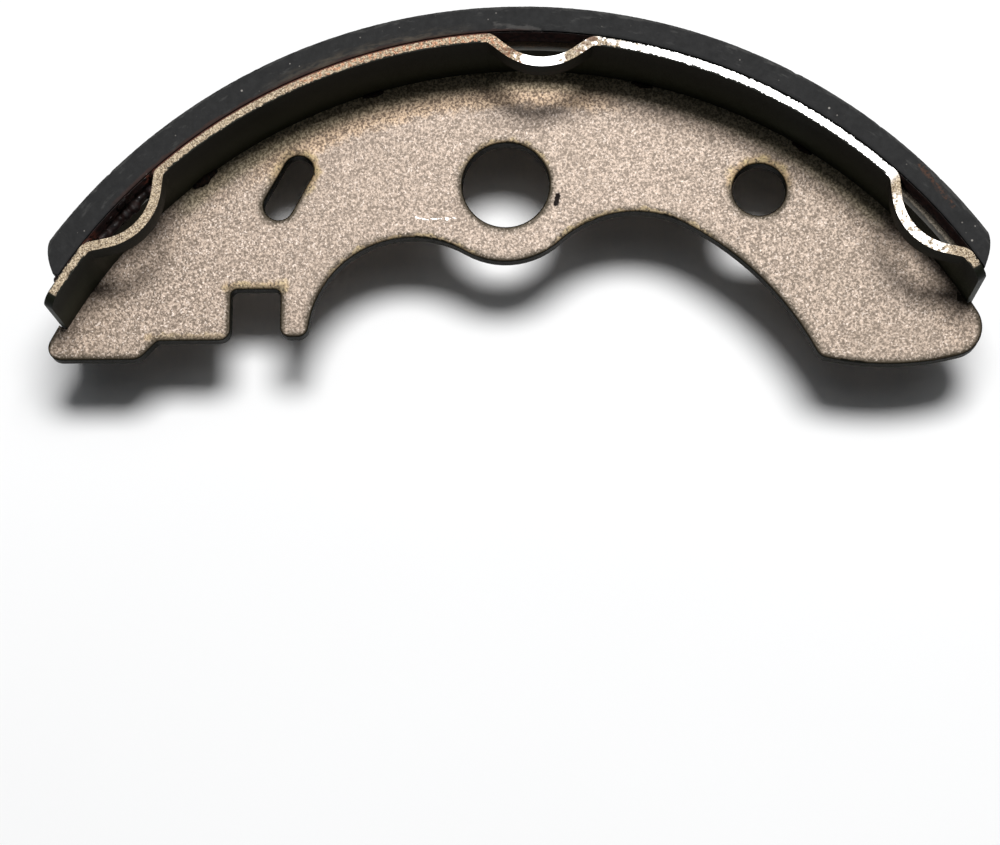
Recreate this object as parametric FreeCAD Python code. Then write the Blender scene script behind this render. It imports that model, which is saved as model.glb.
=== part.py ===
import FreeCAD, Part
import math
import os

# Leading drum-brake shoe: a T of a flat web and a rolled table, with a bonded friction lining.
# Frame: origin at the centre of the web's large hole, on the web's mid-plane.
# +X along the shoe, +Y towards the lining, +Z along the drum's axis. Lengths in mm, angles in degrees.
# Angles are counted from +Y, positive towards +X.

# Drum, the rubbing face's height above the large hole, and the stack-up from that face inwards
drum_r = 90.0
drum_x = 2.1
crown_height = 25.1
shoe_width = 32.0
lining_t = 4.1
film_t = 0.2
table_t = 1.5
web_t = 2.5

# The rubbing face is ground about the drum's axis. The table's axis lies this far towards +X of it.
grind_shift = 0.4

# Table: where it ends, and the rounding of its four corners
table_left = -60.6
table_right = 58.0
table_corner_r = 2.2

# Nibs: strips lanced along both edges of the table and pressed inwards
nib_angles = (-47.6, 2.4, 49.4)
nib_half_length = 9.0
nib_width = 4.6
nib_depth = 4.2
nib_floor_r = 9.5
nib_kink_r = 1.8

# Lining: where its foot ends, and the crowned bevel at both ends
lining_left = -57.3
lining_right = 57.3
bevel_length = 4.1
bevel_height = 3.5
bevel_crown = 0.45

# Adhesive: how far the film stays inside the edges, and where it has run out.
# Runs fill the corners of some pockets as far as the film goes, and stay short in the open ones.
# The filled ones are named by their place in the list of nibs, from 0.
film_inset = 0.4
filled_nibs_above = (0,)
filled_nibs_below = (0, 1)
squeeze_depth = 1.1
squeeze_length = 3.4
short_run = 1.2
curtain_t = 1.6
curtain_drop = 1.9
end_bead_r = 0.6
end_bead_length = 5.0

# Web: shoulders past the table's ends
left_shoulder_height = 1.6
right_shoulder_height = 0.7
shoulder_gap = 0.2
edge_roll_r = 0.35

# Web: toe, step and ledge at the left end. Heights run from the table's end, places round the table's axis.
toe_drop = 5.06
toe_corner_r = 2.2
step_foot_angle = -59.7
step_foot_r = 3.0
step_head_angle = -56.3
step_head_r = 1.2
ledge_rise = 3.1
ledge_corner_r = 1.9

# Web: strut notch in the ledge, and the finger beside it
notch_angle = -47.65
notch_width = 8.0
notch_depth = 8.45
notch_corner_r = 1.0
finger_width = 4.5
finger_rise = 0.5
finger_notch_r = 1.7
finger_scallop_r = 1.8

# Web: boss round the large hole, and the scallops that run into it. The left one ends at the finger.
boss_r = 12.95
left_scallop_angle = -149.3
right_scallop_r = 17.7
right_scallop_angle = 137.1
sweep_r = 50.3
sweep_angle = -150.7

# Web: foot at the right end. Its sole's lowest point is measured from the table's end.
sole_r = 44.8
sole_run = 12.7
sole_drop = 9.95
heel_r = 2.4
foot_tip_r = 4.9

# Web: holes
main_hole_r = 7.1
side_hole_r = 4.35
side_hole_x = 41.1
side_hole_y = -1.2
slot_width = 4.9
slot_length = 11.6
slot_angle = 61.7
slot_x = -35.45
slot_y = -0.2

# Weld spots along the joint of web and table
weld_angles = (-37.9, -16.8, 13.6, 32.9)
weld_length = 3.8
weld_taper = 1.2
weld_tip_r = 0.4
weld_r = 1.1

# Sizes that follow from the ones above
half_width = shoe_width / 2
lining_in_r = drum_r - lining_t
table_out_r = lining_in_r - film_t
table_mid_r = table_out_r - table_t / 2
seat_r = table_out_r - table_t
left_shoulder_r = seat_r + left_shoulder_height
right_shoulder_r = seat_r + right_shoulder_height
band_half = half_width - nib_width
nib_half_angle = math.degrees(nib_half_length / table_mid_r)
shoulder_gap_angle = math.degrees(shoulder_gap / seat_r)
bevel_angle = math.degrees(bevel_length / drum_r)

Z = FreeCAD.Vector(0, 0, 1)
origin = FreeCAD.Vector(0, 0, 0)
drum_axis = FreeCAD.Vector(drum_x, crown_height - drum_r, 0)
table_axis = drum_axis + FreeCAD.Vector(grind_shift, 0, 0)


def direction(angle):
    """Unit vector at an angle from +Y, positive towards +X."""
    a = math.radians(angle)
    return FreeCAD.Vector(math.sin(a), math.cos(a), 0)


def polar(radius, angle, axis=table_axis):
    """Point at a radius and angle round the table's axis, or round another one."""
    return axis + direction(angle) * radius


def ring_arc(radius, start, end, axis=table_axis):
    """Arc round the table's axis, or round another one, between two angles."""
    points = [polar(radius, a, axis) for a in (start, (start + end) / 2, end)]
    return Part.Arc(*points).toShape()


def arc_about(centre, start, end):
    """The shorter arc from start to end round a centre."""
    middle = (start - centre) + (end - centre)
    middle.normalize()
    return Part.Arc(start, centre + middle * (start - centre).Length, end).toShape()


def line(start, end):
    return Part.LineSegment(start, end).toShape()


def slab(edges, low, high):
    """Closed outline in the XY plane, extruded from z = low to z = high."""
    face = Part.Face(Part.Wire(Part.__sortEdges__(edges)))
    face.translate(Z * low)
    return face.extrude(Z * (high - low))


def sector(r_in, r_out, start, end, low, high):
    """Piece of a ring round the table's axis."""
    edges = [
        ring_arc(r_out, start, end),
        line(polar(r_out, end), polar(r_in, end)),
        ring_arc(r_in, start, end),
        line(polar(r_in, start), polar(r_out, start)),
    ]
    return slab(edges, low, high)


def crossing(c1, r1, c2, r2, nearest):
    """Where two circles cross, on the side of the point called nearest."""
    between = c2 - c1
    d = between.Length
    along = (r1 ** 2 - r2 ** 2 + d ** 2) / (2 * d)
    across = math.sqrt(r1 ** 2 - along ** 2)
    between.normalize()
    side = Z.cross(between)
    options = [c1 + between * along + side * (across * s) for s in (-1, 1)]
    return min(options, key=lambda p: (p - nearest).Length)


def circle_at_y(centre, radius, y, side):
    """Point of a circle at a height y, on its left (-1) or right (+1) side."""
    x = centre.x + side * math.sqrt(radius ** 2 - (y - centre.y) ** 2)
    return FreeCAD.Vector(x, y, 0)


def ray_at_y(angle, y):
    """Point at a height y on a ray from the table's axis."""
    return FreeCAD.Vector(table_axis.x + (y - table_axis.y) * math.tan(math.radians(angle)), y, 0)


def scallop_radius(angle, end):
    """Radius of the scallop that leaves the boss at an angle and ends at a point."""
    start = direction(angle) * boss_r
    return (end - start).Length ** 2 / (2 * (end - start).dot(direction(angle)))


def upright_edges(solid, corner):
    """The edges parallel to Z that stand over a corner of an outline."""
    found = []
    for edge in solid.Edges:
        ends = [vertex.Point for vertex in edge.Vertexes]
        if len(ends) == 2 and all(math.hypot(p.x - corner.x, p.y - corner.y) < 1e-3 for p in ends):
            found.append(edge)
    return found


# Web: one stamped plate. Its outline is drawn sharp and its corners are then rounded.
def web():
    left = table_left - shoulder_gap_angle
    right = table_right + shoulder_gap_angle
    seat_left, seat_right = polar(seat_r, left), polar(seat_r, right)
    shoulder_left, shoulder_right = polar(left_shoulder_r, left), polar(right_shoulder_r, right)
    sole = seat_right - FreeCAD.Vector(sole_run, sole_drop, 0)
    sole_c = sole + FreeCAD.Vector(0, sole_r, 0)
    foot_tip = crossing(table_axis, right_shoulder_r, sole_c, sole_r, shoulder_right)
    boss_right = direction(right_scallop_angle) * boss_r
    right_scallop_c = direction(right_scallop_angle) * (boss_r + right_scallop_r)
    sweep_c = right_scallop_c + direction(sweep_angle) * (sweep_r - right_scallop_r)
    sweep_end = right_scallop_c - direction(sweep_angle) * right_scallop_r
    heel = crossing(sweep_c, sweep_r, sole_c, sole_r, sole - FreeCAD.Vector(sole_r / 3, 0, 0))
    toe = circle_at_y(table_axis, left_shoulder_r, seat_left.y - toe_drop, -1)
    step_foot = ray_at_y(step_foot_angle, toe.y)
    step_head = ray_at_y(step_head_angle, toe.y + ledge_rise)
    notch_left = ray_at_y(notch_angle, step_head.y) + FreeCAD.Vector(-notch_width / 2, notch_depth, 0)
    ledge_end = notch_left - FreeCAD.Vector(0, notch_depth, 0)
    notch_right = notch_left + FreeCAD.Vector(notch_width, 0, 0)
    finger_left = ledge_end + FreeCAD.Vector(notch_width, finger_rise, 0)
    finger_right = finger_left + FreeCAD.Vector(finger_width, 0, 0)
    left_scallop_r = scallop_radius(left_scallop_angle, finger_right)
    left_scallop_c = direction(left_scallop_angle) * (boss_r + left_scallop_r)
    boss_left = direction(left_scallop_angle) * boss_r
    edges = [
        ring_arc(seat_r, left, right),
        line(seat_right, shoulder_right),
        arc_about(table_axis, shoulder_right, foot_tip),
        arc_about(sole_c, foot_tip, heel),
        arc_about(sweep_c, heel, sweep_end),
        arc_about(right_scallop_c, sweep_end, boss_right),
        arc_about(origin, boss_right, boss_left),
        arc_about(left_scallop_c, boss_left, finger_right),
        line(finger_right, finger_left),
        line(finger_left, notch_right),
        line(notch_right, notch_left),
        line(notch_left, ledge_end),
        line(ledge_end, step_head),
        line(step_head, step_foot),
        line(step_foot, toe),
        arc_about(table_axis, toe, shoulder_left),
        line(shoulder_left, seat_left),
    ]
    plate = slab(edges, -web_t / 2, web_t / 2)
    corners = [
        (foot_tip, foot_tip_r),
        (heel, heel_r),
        (finger_right, finger_scallop_r),
        (finger_left, finger_notch_r),
        (notch_right, notch_corner_r),
        (notch_left, notch_corner_r),
        (ledge_end, ledge_corner_r),
        (step_head, step_head_r),
        (step_foot, step_foot_r),
        (toe, toe_corner_r),
    ]
    for corner, radius in corners:
        plate = plate.makeFillet(radius, upright_edges(plate, corner))
    for cutter in web_holes():
        plate = plate.cut(cutter)
    return roll_upper_edges(plate)


def web_holes():
    """The round holes and the slanted slot, as cutters that pass both faces."""
    low = FreeCAD.Vector(0, 0, -web_t)
    main = Part.makeCylinder(main_hole_r, 2 * web_t, low)
    side = Part.makeCylinder(side_hole_r, 2 * web_t, low + FreeCAD.Vector(side_hole_x, side_hole_y, 0))
    end_r = slot_width / 2
    reach = slot_length / 2 - end_r
    slot = Part.makeBox(2 * reach, slot_width, 2 * web_t, low - FreeCAD.Vector(reach, end_r, 0))
    for end in (-reach, reach):
        slot = slot.fuse(Part.makeCylinder(end_r, 2 * web_t, low + FreeCAD.Vector(end, 0, 0)))
    slot = slot.removeSplitter()
    slot.rotate(origin, Z, slot_angle)
    slot.translate(FreeCAD.Vector(slot_x, slot_y, 0))
    return [main, side, slot]


def roll_upper_edges(plate):
    """Round the upper rim that the punch drew in, on the free edges and round the holes."""
    rim = []
    for edge in plate.Edges:
        middle = edge.valueAt((edge.FirstParameter + edge.LastParameter) / 2)
        on_top = all(abs(p.z - web_t / 2) < 1e-6 for p in [middle] + [v.Point for v in edge.Vertexes])
        if on_top and not against_table(middle):
            rim.append(edge)
    return plate.makeFillet(edge_roll_r, rim)


def against_table(point):
    """True on the seat, and on the short steps that face the table's ends."""
    arm = point - FreeCAD.Vector(table_axis.x, table_axis.y, point.z)
    angle = math.degrees(math.atan2(arm.x, arm.y))
    on_step = min(abs(angle - table_left), abs(angle - table_right)) < 1.5 * shoulder_gap_angle
    return abs(arm.Length - seat_r) < 1e-3 or on_step


# Table: one rolled strip. Both edges are lanced three times, and each lanced strip dips inwards.
def nib_edges(angle, offset):
    """One face line of a dipped strip, offset outwards from the middle of the sheet."""
    kink_c = direction(nib_half_angle) * (table_mid_r - nib_kink_r)
    floor_c = FreeCAD.Vector(0, table_mid_r - nib_depth + nib_floor_r, 0)
    kink_r = nib_kink_r + offset
    floor_r = nib_floor_r - offset
    across = kink_c - floor_c
    turn = math.acos((nib_kink_r + nib_floor_r) / across.Length)
    across.normalize()
    normal = across * math.cos(turn) + FreeCAD.Vector(across.y, -across.x, 0) * math.sin(turn)
    crown = direction(nib_half_angle) - normal
    crown.normalize()
    half = [
        kink_c + direction(nib_half_angle) * kink_r,
        kink_c + crown * kink_r,
        kink_c - normal * kink_r,
        floor_c + normal * floor_r,
    ]
    floor = floor_c - FreeCAD.Vector(0, floor_r, 0)
    mirrored = [FreeCAD.Vector(-p.x, p.y, 0) for p in half]
    edges = [
        Part.Arc(mirrored[0], mirrored[1], mirrored[2]).toShape(),
        line(mirrored[2], mirrored[3]),
        Part.Arc(mirrored[3], floor, half[3]).toShape(),
        line(half[3], half[2]),
        Part.Arc(half[2], half[1], half[0]).toShape(),
    ]
    for edge in edges:
        edge.rotate(origin, Z, -angle)
        edge.translate(table_axis)
    return edges


def dipped_strip(low, high):
    """The lanced edge of the table over its whole length, with every nib in it."""
    edges = []
    for offset in (-table_t / 2, table_t / 2):
        start = table_left
        for angle in nib_angles:
            edges.append(ring_arc(table_mid_r + offset, start, angle - nib_half_angle))
            edges.extend(nib_edges(angle, offset))
            start = angle + nib_half_angle
        edges.append(ring_arc(table_mid_r + offset, start, table_right))
    for end in (table_left, table_right):
        edges.append(line(polar(seat_r, end), polar(table_out_r, end)))
    return slab(edges, low, high)


def table():
    band = sector(seat_r, table_out_r, table_left, table_right, -band_half, band_half)
    upper = dipped_strip(band_half, half_width)
    lower = dipped_strip(-half_width, -band_half)
    sheet = band.fuse([upper, lower]).removeSplitter()
    corners = []
    for angle in (table_left, table_right):
        for side in (-half_width, half_width):
            corners.append(edge_through_sheet(sheet, angle, side))
    return sheet.makeFillet(table_corner_r, corners).Solids[0]


def edge_through_sheet(sheet, angle, z):
    """The short edge across the sheet's thickness, at one corner of the table."""
    middle = polar(table_mid_r, angle) + Z * z
    return min(sheet.Edges, key=lambda edge: (edge.CenterOfMass - middle).Length)


# Lining: one moulded arc with crowned bevels
def bevel(end, inwards):
    """Bevel from the lining's foot to the rubbing face. inwards is +1 at the left end, -1 at the right."""
    foot = polar(drum_r - bevel_height, end, drum_axis)
    tip = polar(drum_r, end + inwards * bevel_angle, drum_axis)
    middle = (foot + tip) * 0.5
    outwards = (tip - foot).cross(Z) * inwards * -1
    outwards.normalize()
    return Part.Arc(foot, middle + outwards * bevel_crown, tip).toShape()


def friction_lining():
    foot_r = drum_r - bevel_height
    edges = [
        ring_arc(lining_in_r, lining_left, lining_right),
        line(polar(lining_in_r, lining_right), polar(foot_r, lining_right, drum_axis)),
        bevel(lining_right, -1),
        ring_arc(drum_r, lining_left + bevel_angle, lining_right - bevel_angle, drum_axis),
        bevel(lining_left, 1),
        line(polar(foot_r, lining_left, drum_axis), polar(lining_in_r, lining_left)),
    ]
    return slab(edges, -half_width, half_width)


# Adhesive: the bond film, and what has run out of it
def adhesive(sheet):
    inset_angle = math.degrees(film_inset / table_out_r)
    start = lining_left + inset_angle
    end = lining_right - inset_angle
    side = half_width - film_inset
    film = sector(table_out_r, lining_in_r, start, end, -side, side)
    runs = []
    for place, angle in enumerate(nib_angles):
        above = side if place in filled_nibs_above else band_half + short_run
        below = side if place in filled_nibs_below else band_half + short_run
        for inwards in (-1, 1):
            runs.append(squeeze_out(angle, inwards, band_half, above))
            runs.append(squeeze_out(angle, inwards, -below, -band_half))
    runs.append(curtain(nib_angles[0]))
    runs = [run.cut(sheet) for run in runs]
    return film.fuse(runs + [end_bead(sheet)]).removeSplitter()


def squeeze_out(angle, inwards, low, high):
    """Wedge in one end of a nib's pocket."""
    edge = angle - inwards * nib_half_angle
    reach = edge + inwards * math.degrees((nib_kink_r + squeeze_length) / table_out_r)
    return sector(table_out_r - squeeze_depth, table_out_r, min(edge, reach), max(edge, reach), low, high)


def curtain(angle):
    """Adhesive that hangs over the cut edge of the table in a pocket of the upper edge."""
    reach = nib_half_angle * 0.75
    low_r = table_out_r - curtain_drop
    return sector(low_r, table_out_r, angle - reach, angle + reach, band_half, band_half + curtain_t)


def end_bead(sheet):
    """Short bead on the table against the lining's left end."""
    centre = polar(table_out_r, lining_left) + Z * (half_width - film_inset - end_bead_length)
    bead = Part.makeCylinder(end_bead_r, end_bead_length, centre, Z)
    return bead.cut(sheet).cut(friction_lining())


# Weld spots: a bead with tapered ends in each corner between web and table
def weld_beads(sheet, plate):
    spots = []
    for angle in weld_angles:
        for side in (-1, 1):
            centre = polar(seat_r, angle) + Z * (side * web_t / 2)
            along = Z.cross(direction(angle))
            start = centre - along * (weld_length / 2)
            crown = Part.makeCylinder(weld_r, weld_length - 2 * weld_taper, start + along * weld_taper, along)
            tips = [
                Part.makeCone(weld_tip_r, weld_r, weld_taper, start, along),
                Part.makeCone(weld_r, weld_tip_r, weld_taper, start + along * (weld_length - weld_taper), along),
            ]
            bead = crown.fuse(tips).cut(sheet).cut(plate)
            spots.append(bead.removeSplitter())
    return Part.makeCompound(spots)


def main():
    os.makedirs("parts", exist_ok=True)
    plate = web()
    sheet = table()
    nodes = {
        "web": plate,
        "table": sheet,
        "friction_lining": friction_lining(),
        "adhesive": adhesive(sheet),
        "weld_beads": weld_beads(sheet, plate),
    }
    for name, shape in nodes.items():
        shape.exportStep("parts/%s.step" % name)
        box = shape.BoundBox
        print(name, "valid", shape.isValid(), "solids", len(shape.Solids), "volume %.1f" % shape.Volume,
              "x %.1f %.1f y %.1f %.1f z %.1f %.1f" % (box.XMin, box.XMax, box.YMin, box.YMax, box.ZMin, box.ZMax))


main()
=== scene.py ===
import bmesh
import bpy
import math
import random
from mathutils import Matrix, Vector, noise


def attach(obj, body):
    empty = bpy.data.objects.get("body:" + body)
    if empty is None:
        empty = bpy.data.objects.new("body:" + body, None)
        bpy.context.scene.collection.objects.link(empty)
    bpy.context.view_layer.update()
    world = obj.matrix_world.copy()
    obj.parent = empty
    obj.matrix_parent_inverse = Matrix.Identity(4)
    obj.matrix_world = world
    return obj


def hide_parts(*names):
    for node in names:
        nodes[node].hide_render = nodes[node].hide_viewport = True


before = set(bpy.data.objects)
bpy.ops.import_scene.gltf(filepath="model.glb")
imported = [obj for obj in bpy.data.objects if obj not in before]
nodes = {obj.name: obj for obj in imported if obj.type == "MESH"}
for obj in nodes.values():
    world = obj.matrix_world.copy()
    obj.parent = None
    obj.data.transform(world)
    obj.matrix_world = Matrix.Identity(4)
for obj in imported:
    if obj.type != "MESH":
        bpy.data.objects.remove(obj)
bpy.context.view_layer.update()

# The construction's sizes that the looks refer to, in mm. Angles are in degrees from +Y
TABLE_AXIS = (2.5, -64.9)
DRUM_AXIS = (2.1, -64.9)
DRUM_R = 90.0
LINING_IN_R = 85.9
TABLE_OUT_R = 85.7
SEAT_R = 84.2
HALF_WIDTH = 16.0
BAND_HALF = 11.4
WEB_HALF = 1.25
NIB_ANGLES = (-47.6, 2.4, 49.4)
NIB_HALF = 6.3
# Welds between web and table: angle, length against the longest, reach of the rust round them
WELDS = ((-37.9, 1.0, 4.2), (-16.8, 0.75, 1.6), (13.6, 0.75, 1.6), (32.9, 0.8, 1.8))

# The web's outline: circles as centre and radius, and the corners of notch, ledge and toe
MAIN_HOLE = (0.0, 0.0, 7.1)
SIDE_HOLE = (41.1, -1.2, 4.35)
SLOT_AXIS = (-37.04, -3.15, -33.86, 2.75)
SLOT_HALF = 2.45
LEFT_SCALLOP = (-15.19, -25.58, 16.8)
RIGHT_SCALLOP = (20.86, -22.45, 17.7)
BOSS = (0.0, 0.0, 12.95)
SWEEP = (4.91, -50.88, 50.3)
SOLE = (61.3, 14.4, 44.8)
FOOT_TIP = (71.37, -24.21, 4.9)
FOOT_BACK_R, TOE_BACK_R = 84.9, 85.8
NOTCH_LEFT, NOTCH_RIGHT, NOTCH_ROOF = -44.5, -36.5, -17.25
FINGER_END, FINGER_Y = -32.0, -25.2
LEDGE_Y, LEDGE_END = -25.7, -56.3
TOE_Y, TOE_START, TOE_END = -28.8, -59.3, -75.0


# ---------------------------------------------------------------- shader building
class Shader:
    """One material's node tree. Every value may be a number or another node's socket."""

    def __init__(self, name):
        self.material = bpy.data.materials.new(name)
        self.material.use_nodes = True
        self.tree = self.material.node_tree
        self.tree.nodes.clear()
        output = self.tree.nodes.new("ShaderNodeOutputMaterial")
        self.bsdf = self.tree.nodes.new("ShaderNodeBsdfPrincipled")
        self.tree.links.new(self.bsdf.outputs[0], output.inputs["Surface"])
        coordinates = self.tree.nodes.new("ShaderNodeTexCoord").outputs["Object"]
        self.mm = self.scaled(coordinates, 1000.0)
        self.x, self.y, self.z = self.split(self.mm)
        normal = self.tree.nodes.new("ShaderNodeNewGeometry").outputs["Normal"]
        self.nz = self.split(normal)[2]

    def feed(self, socket, value):
        if isinstance(value, bpy.types.NodeSocket):
            self.tree.links.new(value, socket)
        else:
            socket.default_value = value

    def surface(self, **values):
        for name, value in values.items():
            self.feed(self.bsdf.inputs[name.replace("_", " ")], value)

    def math(self, operation, a, b=None):
        node = self.tree.nodes.new("ShaderNodeMath")
        node.operation = operation
        for socket, value in zip(node.inputs, (a, b)):
            if value is not None:
                self.feed(socket, value)
        return node.outputs[0]

    def add(self, a, b):
        return self.math("ADD", a, b)

    def sub(self, a, b):
        return self.math("SUBTRACT", a, b)

    def mul(self, a, b):
        return self.math("MULTIPLY", a, b)

    def low(self, *values):
        least = values[0]
        for value in values[1:]:
            least = self.math("MINIMUM", least, value)
        return least

    def high(self, a, b):
        return self.math("MAXIMUM", a, b)

    def size(self, value):
        return self.math("ABSOLUTE", value)

    def scaled(self, vector, factor):
        node = self.tree.nodes.new("ShaderNodeVectorMath")
        node.operation = "SCALE"
        self.feed(node.inputs[0], vector)
        self.feed(node.inputs["Scale"], factor)
        return node.outputs[0]

    def split(self, vector):
        node = self.tree.nodes.new("ShaderNodeSeparateXYZ")
        self.feed(node.inputs[0], vector)
        return node.outputs[0], node.outputs[1], node.outputs[2]

    def join(self, x, y, z):
        node = self.tree.nodes.new("ShaderNodeCombineXYZ")
        for socket, value in zip(node.inputs, (x, y, z)):
            self.feed(socket, value)
        return node.outputs[0]

    def rise(self, value, start, end):
        """0 before start, 1 after end, smooth between them. start may be the larger one."""
        node = self.tree.nodes.new("ShaderNodeMapRange")
        node.interpolation_type = "SMOOTHSTEP"
        self.feed(node.inputs["Value"], value)
        lowest, highest = min(start, end), max(start, end)
        self.feed(node.inputs["From Min"], lowest)
        self.feed(node.inputs["From Max"], highest)
        self.feed(node.inputs["To Min"], 0.0 if start < end else 1.0)
        self.feed(node.inputs["To Max"], 1.0 if start < end else 0.0)
        return node.outputs[0]

    def band(self, value, start, end, soft):
        """1 from start to end, 0 further than soft outside."""
        return self.mul(self.rise(value, start - soft, start), self.rise(value, end + soft, end))

    def spread(self, value, width):
        """A noise from 0 to 1 turned into a shift to both sides."""
        return self.mul(self.sub(value, 0.5), width)

    def noise(self, scale, detail=2.0, roughness=0.5, place=None, seed=0.0, distortion=0.0):
        node = self.tree.nodes.new("ShaderNodeTexNoise")
        node.noise_dimensions = "4D"
        self.feed(node.inputs["Vector"], self.mm if place is None else place)
        self.feed(node.inputs["W"], seed)
        self.feed(node.inputs["Scale"], scale)
        self.feed(node.inputs["Detail"], detail)
        self.feed(node.inputs["Roughness"], roughness)
        self.feed(node.inputs["Distortion"], distortion)
        return node.outputs[0]

    def cells(self, scale):
        """Distance from the nearest of the points strewn through space."""
        node = self.tree.nodes.new("ShaderNodeTexVoronoi")
        self.feed(node.inputs["Vector"], self.mm)
        self.feed(node.inputs["Scale"], scale)
        return node.outputs["Distance"]

    def mix(self, factor, a, b):
        """Colour a where factor is 0, b where it is 1."""
        node = self.tree.nodes.new("ShaderNodeMix")
        node.data_type = "RGBA"
        self.feed(node.inputs["Factor"], factor)
        inputs = [s for s in node.inputs if s.type == "RGBA"]
        for socket, value in zip(inputs, (a, b)):
            self.feed(socket, (*value, 1.0) if isinstance(value, tuple) else value)
        return next(s for s in node.outputs if s.type == "RGBA")

    def tones(self, value, start, end, a, b):
        """Colour a where value is at start, b where it is at end."""
        return self.mix(self.rise(value, start, end), a, b)

    def blend(self, factor, a, b):
        """Number a where factor is 0, b where it is 1."""
        node = self.tree.nodes.new("ShaderNodeMix")
        node.data_type = "FLOAT"
        for socket, value in zip([s for s in node.inputs if s.type == "VALUE"], (factor, a, b)):
            self.feed(socket, value)
        return next(s for s in node.outputs if s.type == "VALUE")

    def bump(self, height, depth_mm, strength):
        node = self.tree.nodes.new("ShaderNodeBump")
        self.feed(node.inputs["Strength"], strength)
        self.feed(node.inputs["Distance"], depth_mm / 1000.0)
        self.feed(node.inputs["Height"], height)
        return node.outputs[0]

    # Distances in the XY plane, in mm
    def from_point(self, cx, cy):
        dx, dy = self.sub(self.x, cx), self.sub(self.y, cy)
        return self.math("SQRT", self.add(self.mul(dx, dx), self.mul(dy, dy)))

    def from_circle(self, cx, cy, r):
        return self.size(self.sub(self.from_point(cx, cy), r))

    def from_line(self, x0, y0, x1, y1):
        """Distance from a straight piece of edge."""
        length = math.hypot(x1 - x0, y1 - y0)
        ux, uy = (x1 - x0) / length, (y1 - y0) / length
        dx, dy = self.sub(self.x, x0), self.sub(self.y, y0)
        along = self.add(self.mul(dx, ux), self.mul(dy, uy))
        across = self.sub(self.mul(dx, uy), self.mul(dy, ux))
        past = self.high(self.sub(self.size(self.sub(along, length / 2)), length / 2), 0.0)
        return self.math("SQRT", self.add(self.mul(past, past), self.mul(across, across)))

    def turn(self, axis=TABLE_AXIS):
        """Angle from +Y round the table's axis in degrees, and the radius in mm."""
        dx, dy = self.sub(self.x, axis[0]), self.sub(self.y, axis[1])
        angle = self.mul(self.math("ARCTAN2", dx, dy), 180.0 / math.pi)
        return angle, self.math("SQRT", self.add(self.mul(dx, dx), self.mul(dy, dy)))


def dress(node, shader):
    mesh = nodes[node].data
    mesh.materials.clear()
    mesh.materials.append(shader.material)


def ring_point(axis, angle, radius):
    """Place in the XY plane at an angle from +Y round an axis."""
    a = math.radians(angle)
    return axis[0] + radius * math.sin(a), axis[1] + radius * math.cos(a)


# ---------------------------------------------------------------- web
def web_edge_distance(s, angle, radius):
    """Distance from the web's outline, its holes, notch and step."""
    def only_past(distance, value, without, within):
        far_off = 50.0
        return s.add(distance, s.mul(s.rise(value, without, within), far_off))

    return s.low(
        s.from_circle(*MAIN_HOLE),
        s.from_circle(*SIDE_HOLE),
        s.size(s.sub(s.from_line(*SLOT_AXIS), SLOT_HALF)),
        s.from_circle(*LEFT_SCALLOP),
        s.from_circle(*RIGHT_SCALLOP),
        only_past(s.from_circle(*BOSS), s.y, -11.0, -9.0),
        only_past(s.from_circle(*SWEEP), s.x, 29.5, 28.0),
        only_past(s.from_circle(*SOLE), s.y, -22.0, -16.0),
        s.from_line(NOTCH_LEFT, NOTCH_ROOF, NOTCH_RIGHT, NOTCH_ROOF),
        s.from_line(NOTCH_LEFT, NOTCH_ROOF, NOTCH_LEFT, LEDGE_Y),
        s.from_line(NOTCH_RIGHT, NOTCH_ROOF, NOTCH_RIGHT, FINGER_Y),
        s.from_line(NOTCH_RIGHT, FINGER_Y, FINGER_END, FINGER_Y),
        s.from_line(NOTCH_LEFT, LEDGE_Y, LEDGE_END, LEDGE_Y),
        s.from_line(LEDGE_END, LEDGE_Y, TOE_START, TOE_Y),
        s.from_line(TOE_START, TOE_Y, TOE_END, TOE_Y),
        only_past(s.size(s.sub(radius, FOOT_BACK_R)), angle, 58.6, 58.2),
        only_past(s.from_circle(*FOOT_TIP), s.x, 72.4, 71.6),
        only_past(s.size(s.sub(radius, TOE_BACK_R)), angle, -61.0, -60.6),
    )


def yellow_stain(s, wander):
    """How far a place is stained: most above the slot and the holes, a little along other edges."""
    above_slot = s.mul(
        s.rise(s.add(s.sub(s.from_line(*SLOT_AXIS), SLOT_HALF), wander), 1.7, 0.3),
        s.rise(s.add(s.mul(s.x, 0.4), s.y), -16.0, -12.5),
    )
    above_side_hole = s.mul(
        s.rise(s.add(s.from_circle(*SIDE_HOLE), wander), 1.9, 0.4), s.rise(s.y, -2.5, 1.0)
    )
    above_main_hole = s.mul(
        s.rise(s.add(s.from_circle(*MAIN_HOLE), wander), 1.0, 0.3), s.rise(s.y, 1.5, 5.0)
    )
    above_notch = s.rise(s.add(s.from_line(-45.0, -16.9, -36.0, -16.9), wander), 1.3, 0.4)
    scallops = s.low(s.from_circle(*LEFT_SCALLOP), s.from_circle(*RIGHT_SCALLOP))
    along_scallops = s.mul(s.rise(s.add(scallops, wander), 0.9, 0.3), s.rise(s.y, -19.0, -13.0))
    along_ledge = s.rise(s.add(s.from_line(-58.0, -25.2, -46.0, -25.2), wander), 0.8, 0.3)
    strongest = above_slot
    for part in (above_side_hole, s.mul(above_notch, 0.62), s.mul(above_main_hole, 0.8),
                 s.mul(along_scallops, 0.75), s.mul(along_ledge, 0.35)):
        strongest = s.high(strongest, part)
    return strongest


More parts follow.
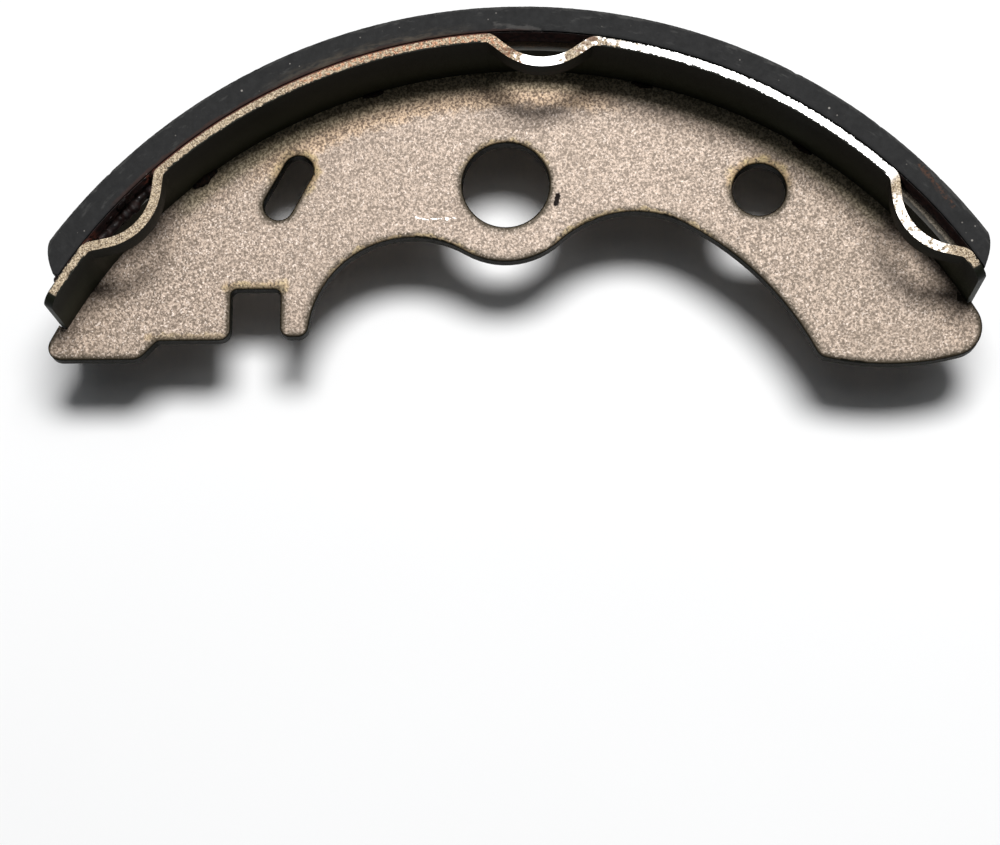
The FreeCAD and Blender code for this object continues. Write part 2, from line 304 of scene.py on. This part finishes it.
def web_material():
    s = Shader("blasted_web_steel")
    angle, radius = s.turn()
    edge = web_edge_distance(s, angle, radius)
    grain = s.noise(2.8, 1.2, 0.50, distortion=0.40)
    fleck = s.noise(3.5, 1.0, 0.45, seed=3.0)
    fine = s.noise(6.0, 2.0, 0.5, seed=5.0)
    cloud = s.noise(0.10, 3.0, 0.55, seed=7.0)
    blot = s.noise(0.55, 3.0, 0.6, seed=11.0)
    upside = s.rise(s.z, -0.5, 0.5)

    # The blasted, phosphated face. Its grain is calmed in the middle, where a painted highlight
    # washes it out, and painted shade darkens it towards its ends and on the right
    plain = s.tones(grain, 0.33, 0.67, (0.090, 0.062, 0.040), (0.475, 0.368, 0.292))
    # Pale flecks of the blast's grain, partly painted glints
    plain = s.mix(s.mul(s.rise(fleck, 0.585, 0.69), 0.80), plain, (0.93, 0.80, 0.71))
    plain = s.mix(s.mul(s.rise(fleck, 0.42, 0.33), 0.70), plain, (0.035, 0.024, 0.015))
    plain = s.mix(s.mul(s.rise(fine, 0.42, 0.30), 0.20), plain, (0.05, 0.035, 0.022))
    plain = s.mix(s.mul(s.rise(cloud, 0.45, 0.72), 0.20), plain, (0.22, 0.165, 0.115))
    # Painted light fall-off: highlight in the middle, shade towards the ends
    painted_light_falloff = s.rise(s.from_point(-5.0, 6.0), 22.0, 62.0)
    plain = s.mix(s.blend(painted_light_falloff, 0.58, 0.22), plain, (0.234, 0.181, 0.140))
    # Painted shade on the right part of the web
    plain = s.mix(s.mul(s.rise(s.x, 12.0, 50.0), 0.29), plain, (0.12, 0.09, 0.065))
    plain = s.mix(s.mul(painted_light_falloff, 0.22), plain, (0.17, 0.125, 0.085))

    # Stains: yellow above the holes, brown next to the table; a lighter greenish tone next to the
    # table is painted light lifting the shade there
    wander = s.spread(blot, 2.6)
    stain = s.mul(yellow_stain(s, wander), s.rise(s.add(grain, s.mul(fleck, 0.6)), 0.56, 0.80))
    yellow = s.tones(blot, 0.4, 0.6, (0.50, 0.37, 0.16), (0.40, 0.25, 0.10))
    plain = s.mix(s.mul(stain, 0.9), plain, yellow)
    under_table = s.rise(s.add(radius, s.spread(blot, 3.6)), 77.4, 79.2)
    heated = s.mul(under_table, s.mul(s.blend(s.band(angle, -29.0, 7.0, 7.0), 0.06, 0.55), upside))
    brown = s.tones(grain, 0.38, 0.62, (0.15, 0.085, 0.040), (0.56, 0.385, 0.225))
    plain = s.mix(heated, plain, brown)
    # Painted light: the shaded corner next to the table lifted to a lighter greenish brown
    corner = s.mul(s.rise(radius, 80.0, 82.5), s.band(angle, -40.0, 43.0, 4.0))
    painted_fill_olive = s.tones(grain, 0.4, 0.65, (0.16, 0.13, 0.07), (0.44, 0.37, 0.24))
    plain = s.mix(s.mul(corner, 0.75), plain, painted_fill_olive)

    # The band on the turned-away face, and rust round the welds
    back_band = s.mul(s.band(angle, -26.0, 28.0, 6.0), s.rise(s.add(radius, wander), 74.5, 77.5))
    back_band = s.mul(back_band, s.rise(s.z, 0.5, -0.5))
    ochre = s.tones(grain, 0.4, 0.7, (0.09, 0.055, 0.018), (0.40, 0.27, 0.10))
    plain = s.mix(s.mul(back_band, 0.75), plain, ochre)
    red_brown = s.tones(grain, 0.4, 0.7, (0.07, 0.022, 0.006), (0.40, 0.15, 0.035))
    for place, _, reach in WELDS:
        spot = s.from_point(*ring_point(TABLE_AXIS, place, 82.9))
        rust = s.rise(s.add(spot, s.spread(blot, 5.0)), reach, reach * 0.4)
        rust = s.mul(rust, s.blend(upside, 0.9, 0.08))
        plain = s.mix(rust, plain, red_brown)

    # The punch's edge roll, with its shade painted along every edge: a narrow dark rim and a wider,
    # softer shaded one
    rim_painted_shade = s.rise(s.add(edge, s.spread(fleck, 1.2)), 1.10, 0.32)
    rim_painted_shade = s.mul(rim_painted_shade, s.sub(0.93, s.mul(stain, 0.50)))
    plain = s.mix(rim_painted_shade, plain, (0.016, 0.013, 0.008))
    shaded_rim = s.rise(s.add(edge, s.spread(blot, 0.8)), 1.9, 0.5)
    plain = s.mix(s.mul(shaded_rim, 0.38), plain, (0.07, 0.052, 0.030))

    # Two scratches and a nick left of the main hole, a short dark mark right of it
    scratches = s.low(
        s.from_line(-14.75, -5.34, -12.63, -5.87),
        s.from_line(-12.15, -5.71, -8.25, -5.57),
    )
    scratch = s.mul(s.rise(scratches, 0.16, 0.05), s.rise(fleck, 0.38, 0.55))
    scratch = s.high(scratch, s.rise(s.from_point(-9.55, -5.73), 0.34, 0.18))
    plain = s.mix(s.mul(scratch, upside), plain, (0.98, 0.95, 0.92))
    mark = s.add(s.from_line(8.49, -1.86, 8.16, -3.37), s.spread(fleck, 0.5))
    mark = s.mul(s.rise(mark, 0.50, 0.30), upside)
    plain = s.mix(mark, plain, (0.006, 0.004, 0.003))

    # The sheared walls are painted nearly black: painted shade, as they lie in shadow
    wall_grain = s.noise(1.6, 3.0, 0.6, s.join(s.x, s.y, s.mul(s.z, 0.4)), 5.0)
    wall_painted_shade = s.mix(wall_grain, (0.003, 0.003, 0.002), (0.016, 0.015, 0.009))
    facing = s.rise(s.size(s.nz), 0.60, 0.97)
    colour = s.mix(facing, wall_painted_shade, plain)

    rough = s.blend(s.rise(grain, 0.3, 0.7), 0.57, 0.46)
    s.surface(Base_Color=colour, Roughness=rough, Metallic=s.mul(facing, 0.34))
    matt = s.high(s.mul(mark, 0.9), s.mul(rim_painted_shade, 0.7))
    s.surface(Specular_IOR_Level=s.mul(s.blend(facing, 0.12, 0.5), s.sub(1.0, matt)))
    s.surface(Normal=s.bump(s.add(s.mul(grain, 0.7), s.mul(fleck, 0.6)), 0.11, 0.50))
    return s


# ---------------------------------------------------------------- table
def table_material():
    s = Shader("rolled_table_steel")
    angle, radius = s.turn()
    grain = s.noise(3.6, 2.5, 0.58)
    fleck = s.noise(5.0, 2.0, 0.5, seed=3.0)
    blot = s.noise(0.5, 3.0, 0.6, seed=9.0)

    # The rolled faces' dark coating, painted darker still as painted shade, since the inner face
    # lies in shadow; lighter next to the web as painted light lifting the shade there
    cloud = s.noise(0.22, 4.0, 0.6, seed=2.0)
    coat_and_painted_shade = s.mix(cloud, (0.0030, 0.0038, 0.0018), (0.0105, 0.0115, 0.0065))
    coat_and_painted_shade = s.mix(s.mul(s.rise(grain, 0.60, 0.74), 0.25), coat_and_painted_shade, (0.030, 0.031, 0.020))
    # Painted light next to the web, lifting the shade in the corner
    coat_and_painted_shade = s.mix(s.mul(s.rise(s.size(s.z), 13.0, 4.0), 0.75), coat_and_painted_shade, (0.040, 0.043, 0.026))

    # The cut edge: cream, coppery left of the middle nib, painted glare right of it: a white base
    # colour for the glare, with a polished finish
    cream = s.tones(grain, 0.34, 0.66, (0.125, 0.082, 0.044), (0.60, 0.485, 0.335))
    cream = s.mix(s.mul(s.rise(fleck, 0.44, 0.34), 0.75), cream, (0.050, 0.026, 0.013))
    cream = s.mix(s.mul(s.rise(fleck, 0.57, 0.67), 0.85), cream, (0.98, 0.88, 0.73))
    orange = s.rise(s.noise(1.5, 3.0, 0.6, seed=14.0), 0.47, 0.60)
    copper = s.mul(s.band(angle, -22.0, -2.0, 5.0), orange)
    coppery = s.tones(fleck, 0.4, 0.6, (0.16, 0.045, 0.018), (0.80, 0.38, 0.20))
    cream = s.mix(s.mul(copper, 0.70), cream, coppery)
    # Painted highlight: the glare on the cut edge right of the middle nib, at the middle nib's
    # floor and at the last nib
    painted_glare_white = s.tones(fleck, 0.35, 0.6, (0.80, 0.77, 0.74), (0.97, 0.96, 0.95))
    stray = s.sub(s.noise(1.3, 3.0, 0.6, seed=21.0), 0.5)
    ragged = s.add(angle, s.mul(stray, 26.0))
    polish_and_painted_glare = s.mul(s.rise(angle, 5.2, 7.0), s.rise(angle, 44.5, 43.0))
    polish_and_painted_glare = s.mul(s.rise(ragged, 7.0, 13.0), polish_and_painted_glare)
    close = s.add(angle, s.mul(stray, 5.0))
    nib_floor = s.mul(s.band(close, 0.2, 4.6, 0.5), s.rise(radius, 84.2, 82.8))
    last_nib = s.rise(s.add(radius, s.mul(stray, 3.0)), 84.0, 82.4)
    last_nib = s.mul(s.band(close, 45.6, 53.4, 1.0), last_nib)
    last_nib = s.mul(last_nib, s.rise(s.noise(1.9, 3.0, 0.6, seed=51.0), 0.40, 0.56))
    polish_and_painted_glare = s.high(s.high(polish_and_painted_glare, nib_floor), s.mul(last_nib, 0.80))
    edge = s.mix(polish_and_painted_glare, cream, painted_glare_white)
    streaks = s.noise(0.9, 3.0, 0.6, s.join(s.mul(angle, 0.5), radius, 0.0), 31.0)
    flanks = s.mul(s.band(angle, -3.4, 8.2, 0.5), s.rise(streaks, 0.50, 0.62))
    flanks = s.mul(flanks, s.sub(1.0, nib_floor))
    edge = s.mix(s.mul(flanks, 0.8), edge, (0.13, 0.055, 0.025))

    # Where the cut edge starts: outside the nibs its rims are worn raggedly
    flat_face = s.mul(s.rise(s.size(s.z), HALF_WIDTH - 0.05, HALF_WIDTH - 0.005),
                      s.rise(s.size(s.nz), 0.90, 0.985))
    in_nib = 0.0
    for nib in NIB_ANGLES:
        in_nib = s.high(in_nib, s.band(angle, nib - NIB_HALF, nib + NIB_HALF, 0.3))
    bite = s.spread(s.noise(2.6, 3.0, 0.6, seed=41.0), 1.0)
    worn = s.mul(s.rise(s.add(radius, bite), SEAT_R + 0.16, SEAT_R + 0.32),
                 s.rise(s.add(radius, bite), TABLE_OUT_R - 0.06, TABLE_OUT_R - 0.20))
    flat_face = s.mul(flat_face, s.high(worn, in_nib))
    resin_rim = s.rise(radius, TABLE_OUT_R - 0.24, TABLE_OUT_R - 0.12)
    resin_rim = s.mul(resin_rim, s.band(angle, -46.0, 1.0, 1.0))
    resin_rim = s.mul(resin_rim, s.rise(s.size(s.z), HALF_WIDTH - 0.5, HALF_WIDTH - 0.3))

    # The sheared step of the middle band, seen through the nibs' pockets: lighter on its outer
    # half, nearly black on its inner half
    on_step = s.mul(s.rise(s.size(s.z), BAND_HALF + 0.3, BAND_HALF + 0.1),
                    s.rise(s.size(s.nz), 0.6, 0.9))
    step_outer_half = s.rise(s.add(radius, s.spread(blot, 0.8)), SEAT_R + 0.55, SEAT_R + 0.85)
    step_outer_tone = s.tones(angle, 30.0, 40.0, (0.15, 0.085, 0.04), (0.50, 0.42, 0.32))
    sheared = s.mix(step_outer_half, (0.020, 0.019, 0.012), step_outer_tone)
    sheared = s.mix(s.mul(s.rise(grain, 0.54, 0.40), 0.7), sheared, (0.05, 0.036, 0.022))

    colour = s.mix(flat_face, coat_and_painted_shade, edge)
    colour = s.mix(s.mul(resin_rim, s.sub(1.0, polish_and_painted_glare)), colour, (0.075, 0.018, 0.008))
    colour = s.mix(on_step, colour, sheared)
    rough = s.blend(flat_face, 0.60, s.blend(polish_and_painted_glare, 0.70, 0.42))
    metal = s.mul(flat_face, s.blend(polish_and_painted_glare, 0.34, 0.80))
    s.surface(Base_Color=colour, Roughness=rough, Metallic=metal)
    s.surface(Specular_IOR_Level=s.blend(s.high(flat_face, on_step), 0.14, 0.5))
    s.surface(Normal=s.bump(s.add(s.mul(grain, 0.7), s.mul(fleck, 0.4)), 0.08, 0.8))
    return s


# ---------------------------------------------------------------- lining, adhesive, welds
def drum_point(angle, radius):
    return ring_point(DRUM_AXIS, angle, radius)


# Pale specks on the lining's upper edge: drum angle, radius, size in mm, strength
SPECKS = ((23.7, 88.0, 0.17, 0.3), (34.2, 87.6, 0.23, 0.6), (53.4, 88.9, 0.16, 0.4),
          (54.4, 87.1, 0.22, 0.6), (-24.0, 88.4, 0.15, 0.5), (-29.7, 87.9, 0.22, 0.6),
          (-23.2, 87.4, 0.13, 0.3), (-12.1, 88.6, 0.12, 0.3), (-38.0, 87.6, 0.14, 0.3))


def lining_material():
    s = Shader("moulded_friction_compound")
    angle, radius = s.turn(DRUM_AXIS)
    arc = s.join(s.mul(angle, 1.57), radius, s.z)
    upside = s.rise(s.z, 15.0, 15.8)
    body = s.mix(s.noise(1.4, 4.0, 0.6), (0.005, 0.005, 0.0055), (0.020, 0.020, 0.020))
    scuffs = s.noise(0.8, 4.0, 0.65, s.join(s.mul(angle, 0.7), s.mul(radius, 1.6), s.z), 12.0)
    body = s.mix(s.mul(s.rise(scuffs, 0.56, 0.72), 0.45), body, (0.060, 0.059, 0.056))
    rim = s.rise(s.add(radius, s.spread(scuffs, 2.4)), DRUM_R - 0.55, DRUM_R - 0.15)
    body = s.mix(s.mul(rim, 0.38), body, (0.075, 0.074, 0.070))
    speck = s.rise(s.noise(0.33, 1.0, 0.5, seed=4.0), 0.56, 0.64)
    speck = s.mul(s.rise(s.cells(0.9), 0.15, 0.07), speck)
    body = s.mix(s.mul(speck, 0.5), body, (0.30, 0.28, 0.25))
    dust = s.mul(s.rise(radius, 87.7, 86.4), s.band(angle, -22.0, -10.0, 7.0))
    body = s.mix(s.mul(dust, s.mul(s.rise(scuffs, 0.35, 0.6), 0.55)), body, (0.085, 0.068, 0.048))
    brown = s.rise(s.add(radius, s.spread(scuffs, 1.2)), 86.25, 85.95)
    brown = s.mul(brown, s.band(angle, -46.0, 0.0, 3.0))
    body = s.mix(s.mul(brown, 0.35), body, (0.060, 0.020, 0.011))

    # Marks on the upper edge: a rusty one at the right, a pale smear at the middle, specks
    rust = s.rise(s.add(s.from_line(*drum_point(45.2, 89.2), *drum_point(50.3, 88.5)),
                        s.spread(scuffs, 2.0)), 0.7, 0.1)
    rust = s.mul(rust, s.rise(s.noise(2.2, 3.0, 0.6, seed=8.0), 0.42, 0.60))
    body = s.mix(s.mul(s.mul(rust, upside), 0.55), body, (0.11, 0.045, 0.022))
    smear = s.rise(s.add(s.from_line(*drum_point(-2.2, 87.1), *drum_point(2.5, 86.05)),
                         s.spread(scuffs, 3.0)), 0.45, 0.0)
    body = s.mix(s.mul(s.mul(smear, upside), 0.24), body, (0.16, 0.15, 0.14))
    for place, r, size, strength in SPECKS:
        dot = s.mul(s.rise(s.from_point(*drum_point(place, r)), size, size * 0.4), upside)
        body = s.mix(s.mul(dot, strength), body, (0.45, 0.42, 0.38))

    # The rubbing face, ground along the drum's turn
    ground = s.rise(radius, DRUM_R - 0.15, DRUM_R - 0.03)
    lines = s.noise(1.0, 3.0, 0.6, s.join(s.mul(angle, 0.12), 0.0, s.mul(s.z, 5.0)), 6.0)
    body = s.mix(s.mul(ground, s.mul(s.rise(lines, 0.40, 0.66), 0.9)), body, (0.050, 0.048, 0.044))
    s.surface(Base_Color=body, Roughness=s.blend(s.noise(0.8, 3.0, 0.6, seed=2.0), 0.60, 0.82))
    s.surface(Specular_IOR_Level=0.22)
    pits = s.add(s.mul(s.noise(2.2, 4.0, 0.65, arc, 1.0), 0.8), s.mul(s.mul(ground, lines), 0.5))
    s.surface(Normal=s.bump(pits, 0.12, 0.7))
    return s


def adhesive_material():
    s = Shader("cured_red_brown_resin")
    angle = s.turn()[0]
    tone = s.noise(1.1, 3.0, 0.6)
    # Painted light and shade: the left nib's pocket mouths a lit red-brown, the rest of the resin
    # nearly black where shade falls in the pockets
    corners = s.high(s.band(angle, -56.0, -51.8, 0.8), s.band(angle, -43.4, -41.0, 0.8))
    lit = s.mix(corners, (0.013, 0.0055, 0.0045), (0.060, 0.017, 0.010))
    colour = s.mix(s.rise(tone, 0.38, 0.65), (0.004, 0.0022, 0.002), lit)
    glints = s.rise(s.noise(3.6, 2.0, 0.5, seed=6.0), 0.60, 0.70)
    s.surface(Base_Color=colour, Roughness=s.blend(glints, 0.55, 0.24))
    s.surface(Specular_IOR_Level=s.blend(glints, 0.16, 0.5))
    s.surface(Normal=s.bump(s.noise(1.3, 2.0, 0.5, seed=5.0), 0.16, 0.7))
    return s


def weld_material():
    s = Shader("rusty_weld_metal")
    rust = s.noise(1.8, 4.0, 0.65)
    orange = s.tones(rust, 0.35, 0.65, (0.05, 0.02, 0.008), (0.34, 0.12, 0.03))
    dark = s.tones(rust, 0.40, 0.70, (0.006, 0.005, 0.004), (0.045, 0.020, 0.012))
    s.surface(Base_Color=s.mix(s.rise(s.z, 0.5, -0.5), dark, orange), Roughness=0.72)
    s.surface(Specular_IOR_Level=0.25)
    s.surface(Normal=s.bump(s.noise(2.6, 3.0, 0.6, seed=2.0), 0.25, 0.9))
    return s


def new_piece(name, mesh, shader, replaced=None):
    """Adds a mesh in metres as a piece of the shoe."""
    for face in mesh.polygons:
        face.use_smooth = True
    mesh.materials.append(shader.material)
    piece = bpy.data.objects.new(name, mesh)
    bpy.context.scene.collection.objects.link(piece)
    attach(piece, "root")
    if replaced:
        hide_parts(replaced)
    return piece


def swept_mesh(name, sections):
    """Closed skin through sections that all have the same number of points, with capped ends."""
    count = len(sections[0])
    points = [tuple(c / 1000.0 for c in point) for section in sections for point in section]
    faces = []
    for i in range(len(sections) - 1):
        for k in range(count):
            a, b = i * count + k, i * count + (k + 1) % count
            faces.append((a, b, b + count, a + count))
    last = (len(sections) - 1) * count
    faces.append(tuple(reversed(range(count))))
    faces.append(tuple(range(last, last + count)))
    mesh = bpy.data.meshes.new(name)
    mesh.from_pydata(points, [], faces)
    mesh.validate()
    work = bmesh.new()
    work.from_mesh(mesh)
    bmesh.ops.recalc_face_normals(work, faces=work.faces)
    work.to_mesh(mesh)
    work.free()
    return mesh


# ---------------------------------------------------------------- lining with worn edges
LINING_END = 57.3
BEVEL_LENGTH, BEVEL_HEIGHT, BEVEL_CROWN = 4.1, 3.5, 0.59
LINING_STATIONS = 620
ROUGH_REACH, ROUGH_DEPTH = 1.6, 0.05
CHIPS = {  # drum angle: (size in mm, half width in degrees), on the upper and the lower edge
    1: {29.4: (0.75, 0.45), -45.6: (0.6, 0.35), 24.6: (0.40, 0.5), 39.3: (0.50, 0.6),
        47.4: (0.45, 0.5), 12.0: (0.30, 0.4), -27.0: (0.28, 0.4), 51.6: (0.35, 0.35)},
    -1: {-31.0: (0.6, 0.5), 4.0: (0.45, 0.4), 36.5: (0.55, 0.5)},
}


def worn_corner(angle, side):
    """Radius of the lining's outer corner at a place along one edge."""
    wave = noise.noise(Vector((angle * 1.3, side * 7.0, 0.0)))
    fine = noise.noise(Vector((angle * 5.0, side * 7.0, 3.0)))
    radius = 0.20 + 0.07 * wave + 0.06 * fine
    for place, (size, half) in CHIPS[side].items():
        near = max(0.0, 1.0 - ((angle - place) / half) ** 2)
        radius = max(radius, size * near * (0.85 + 0.5 * fine))
    return max(radius, 0.08)


def corner_arc(h, z, radius, side, rising):
    """Rounded corner of a section whose sharp corner is at height h. Heights run outwards."""
    steps = [math.radians(a) for a in (-4.0, 0.0, 18.0, 36.0, 54.0, 72.0, 90.0, 94.0)]
    points = []
    for a in steps:
        if a < 0:
            points.append((h - radius - 0.12, z))
        elif a > math.pi / 2:
            points.append((h, z - side * (radius + 0.12)))
        else:
            points.append((h - radius * (1 - math.sin(a)), z - side * radius * (1 - math.cos(a))))
    return points if rising else points[::-1]


def lining_section(station):
    angle = -LINING_END + 2 * LINING_END * station
    from_end = math.radians(LINING_END - abs(angle)) * DRUM_R
    outer_r = DRUM_R
    if from_end < BEVEL_LENGTH:
        u = from_end / BEVEL_LENGTH
        outer_r = DRUM_R - BEVEL_HEIGHT * (1 - u) + BEVEL_CROWN * 4 * u * (1 - u)
    inner = Vector(ring_point(TABLE_AXIS, angle, LINING_IN_R))
    outer = Vector(drum_point(angle, outer_r))
    thick = (outer - inner).length
    outwards = (outer - inner) / thick
    upper = min(worn_corner(angle, 1), 0.35 * thick)
    lower = min(worn_corner(angle, -1), 0.35 * thick)
    w = HALF_WIDTH
    profile = [(0.05, w), (0.14 * thick, w), (0.45 * thick, w)]
    profile += corner_arc(thick, w, upper, 1, True)
    profile += [(thick, z) for z in (12.0, 6.0, 0.0, -6.0, -12.0)]
    profile += corner_arc(thick, -w, lower, -1, False)
    profile += [(0.45 * thick, -w), (0.14 * thick, -w), (0.05, -w)]
    profile += [(0.0, -w + 0.05), (0.0, 0.0), (0.0, w - 0.05)]
    section = []
    for h, z in profile:
        rough = 0.0
        if h > thick - ROUGH_REACH and abs(z) > w - ROUGH_REACH:
            rough = ROUGH_DEPTH * (0.5 + 0.5 * noise.noise(Vector((angle * 4.0, h * 2.5, z * 2.5))))
        place = inner + outwards * max(h - rough, 0.0)
        section.append((place.x, place.y, z - math.copysign(0.6 * rough, z)))
    return section


def lining():
    lip = 0.0006
    stations = [0.0, lip]
    stations += [lip + (1 - 2 * lip) * i / LINING_STATIONS for i in range(1, LINING_STATIONS)]
    stations += [1 - lip, 1.0]
    mesh = swept_mesh("lining_body", [lining_section(t) for t in stations])
    new_piece("lining_body", mesh, lining_material(), "friction_lining")


# ---------------------------------------------------------------- resin and weld metal
SKIN_VOXEL = 0.14
LUMPS_END = 0.01595  # in m: the lumps stop short of the shoe's edges


def ring_place(angle, radius, z):
    return Vector((*ring_point(TABLE_AXIS, angle, radius), z))


def lumps(name, blobs, shader, replaced=None):
    """Blobs run together into one skin. Each is (angle, radius, z, along, out, across) in mm,
    the last three as half sizes."""
    work = bmesh.new()
    for angle, radius, z, along, out, across in blobs:
        turned = Matrix.Rotation(math.radians(-angle), 4, "Z")
        sized = Matrix.Diagonal((along / 1000.0, out / 1000.0, across / 1000.0, 1.0))
        place = Matrix.Translation(ring_place(angle, radius, z) / 1000.0)
        placed = place @ turned @ sized
        ball = bmesh.ops.create_icosphere(work, subdivisions=3, radius=1.0, matrix=placed)
        for vertex in ball["verts"]:
            mm = vertex.co * 1000.0
            wave = noise.noise(mm * 1.1) * 0.16 + noise.noise(mm * 2.7) * 0.07
            centre = ring_place(angle, radius, z)
            away = (mm - centre).normalized()
            vertex.co = (mm + away * wave * min(1.0, out)) / 1000.0
            vertex.co.z = max(-LUMPS_END, min(LUMPS_END, vertex.co.z))
    mesh = bpy.data.meshes.new(name)
    work.to_mesh(mesh)
    work.free()
    piece = new_piece(name, mesh, shader, replaced)
    remesh = piece.modifiers.new("skin", "REMESH")
    remesh.mode = "VOXEL"
    remesh.voxel_size = SKIN_VOXEL / 1000.0
    remesh.use_smooth_shade = True
    smooth = piece.modifiers.new("flow", "SMOOTH")
    smooth.factor, smooth.iterations = 0.6, 8


def resin():
    shader = adhesive_material()
    side = HALF_WIDTH - 0.4
    film, film_end, film_steps = [], 57.0, 160
    for i in range(film_steps + 1):
        angle = -film_end + 2 * film_end * i / film_steps
        inner, outer = ring_place(angle, TABLE_OUT_R, 0.0), ring_place(angle, LINING_IN_R, 0.0)
        edge = side + 0.25 * noise.noise(Vector((angle * 1.7, 0.0, 0.0)))
        film.append([(outer.x, outer.y, edge), (outer.x, outer.y, -edge), (inner.x, inner.y, -edge),
                     (inner.x, inner.y, edge)])
    new_piece("resin_film", swept_mesh("resin_film", film), shader, "adhesive")

    # Three pockets are full of lumps: at both mouths, hanging from the lining and strewn between
    chance = random.Random(5)
    first, middle, last = NIB_ANGLES
    blobs = []
    for nib, turned in ((first, 1), (first, -1), (middle, -1)):
        for end in (-1, 1):
            for step in range(6):
                z = turned * (11.9 + 0.68 * step)
                angle = nib + end * (5.15 + chance.uniform(-0.45, 0.3))
                along, out = chance.uniform(1.0, 1.9), chance.uniform(0.40, 0.62)
                blobs.append((angle, 85.45, z, along, out, 0.75))
        for step in range(8):
            hang = chance.uniform(0.75, 1.35)
            angle = nib - 4.0 + 1.1 * step + chance.uniform(-0.35, 0.35)
            z = turned * (11.9 + chance.uniform(0.0, 0.35))
            along, across = chance.uniform(1.0, 1.9), chance.uniform(0.65, 0.95)
            blobs.append((angle, 85.5 - 0.55 * hang, z, along, hang, across))
        for step in range(6):
            angle, z = nib + chance.uniform(-4.2, 4.2), turned * chance.uniform(12.8, 15.0)
            along, out = chance.uniform(0.9, 1.6), chance.uniform(0.25, 0.5)
            blobs.append((angle, 85.65, z, along, out, chance.uniform(0.6, 1.0)))
    # The other pockets have a drop at each mouth, and the lining's left end has three
    for nib, turned in ((middle, 1), (last, 1), (last, -1)):
        for end in (-1, 1):
            blobs.append((nib + end * 5.35, 85.55, turned * 12.0, 0.9, 0.34, 0.6))
    blobs += [(-57.75, 85.75, 15.05, 0.62, 0.62, 0.80), (-57.9, 85.65, 13.2, 0.50, 0.50, 1.4),
              (-57.8, 85.70, 11.4, 0.40, 0.40, 0.9)]
    lumps("resin_runs", blobs, shader)


def welds():
    blobs = []
    in_corner, upper_share = 0.25, 0.62
    for angle, length, _ in WELDS:
        for side in (-1, 1):
            for step in range(-2, 3):
                size = 0.80 - 0.14 * abs(step) + 0.12 * math.sin(5.0 * step + angle + side)
                if side > 0 and angle > WELDS[0][0]:
                    size *= upper_share
                blobs.append((angle + 0.55 * length * step, SEAT_R - in_corner,
                              side * (WEB_HALF + in_corner), 0.95 * length, size, size))
    lumps("weld_spots", blobs, weld_material(), "weld_beads")


def soften(node, width_mm):
    """Rounds the sharp edges of a CAD node a little. Its mesh stays as it is."""
    piece = nodes[node]
    weld = piece.modifiers.new("join", "WELD")
    weld.merge_threshold = 2e-6
    bevel = piece.modifiers.new("worn_edges", "BEVEL")
    bevel.width = width_mm / 1000.0
    bevel.segments = 3
    bevel.limit_method = "ANGLE"
    bevel.angle_limit = math.radians(40.0)


dress("web", web_material())
dress("table", table_material())
soften("table", 0.2)
lining()
resin()
welds()


# ---------------------------------------------------------------- floor, lights, camera
FLOOR_Z = -HALF_WIDTH / 1000.0
FLOOR_HALF = 6.0
SKY_COLOUR, SKY_STRENGTH = (0.86, 1.0, 1.13, 1.0), 0.033
CAMERA_PLACE = (0.01283, -0.12669, 0.421)
CAMERA_FORWARD, CAMERA_RIGHT = (-0.0321, 0.2032, -0.9786), (0.9995, 0.0, -0.0328)
LENS_MM, SENSOR_MM = 96.7, 36.0


def floor():
    signs = ((-1, -1), (1, -1), (1, 1), (-1, 1))
    corners = [(x * FLOOR_HALF, y * FLOOR_HALF, FLOOR_Z) for x, y in signs]
    mesh = bpy.data.meshes.new("floor")
    mesh.from_pydata(corners, [], [(0, 1, 2, 3)])
    piece = bpy.data.objects.new("floor", mesh)
    bpy.context.scene.collection.objects.link(piece)
    s = Shader("pale_studio_floor")
    tone = s.mix(s.noise(0.02, 2.0, 0.5), (0.86, 0.86, 0.86), (0.88, 0.88, 0.88))
    s.surface(Base_Color=tone, Roughness=0.9, Specular_IOR_Level=0.1)
    mesh.materials.append(s.material)


def softbox(name, towards, wide, deep, watts, distance=1.3):
    """Oval lamp that faces the object. wide and deep are the angles it fills, in degrees."""
    data = bpy.data.lights.new(name, "AREA")
    data.shape = "ELLIPSE"
    data.size = 2 * distance * math.tan(math.radians(wide / 2))
    data.size_y = 2 * distance * math.tan(math.radians(deep / 2))
    data.energy = watts
    lamp = bpy.data.objects.new(name, data)
    bpy.context.scene.collection.objects.link(lamp)
    back = Vector(towards).normalized()
    across = Vector((1.0, 0.0, 0.0))
    across = (across - back * across.dot(back)).normalized()
    turned = Matrix((across, back.cross(across), back)).transposed().to_4x4()
    lamp.matrix_world = Matrix.Translation(back * distance) @ turned


def sky():
    world = bpy.data.worlds.new("studio")
    bpy.context.scene.world = world
    world.use_nodes = True
    background = world.node_tree.nodes["Background"]
    background.inputs["Color"].default_value = SKY_COLOUR
    background.inputs["Strength"].default_value = SKY_STRENGTH


def camera():
    forward = Vector(CAMERA_FORWARD).normalized()
    right = Vector(CAMERA_RIGHT)
    right = (right - forward * right.dot(forward)).normalized()
    up = right.cross(forward)
    data = bpy.data.cameras.new("camera")
    data.lens, data.sensor_width = LENS_MM, SENSOR_MM
    data.clip_start, data.clip_end = 0.01, 10.0
    piece = bpy.data.objects.new("camera", data)
    bpy.context.scene.collection.objects.link(piece)
    turned = Matrix((right, up, -forward)).transposed().to_4x4()
    piece.matrix_world = Matrix.Translation(CAMERA_PLACE) @ turned
    bpy.context.scene.camera = piece


floor()
softbox("key", towards=(0.095, 0.323, 1.0), wide=26.0, deep=17.0, watts=19.6)
softbox("halo", towards=(0.10, 0.33, 1.0), wide=62.0, deep=44.0, watts=2.6)
sky()
camera()
bpy.context.scene.view_settings.view_transform = "Standard"
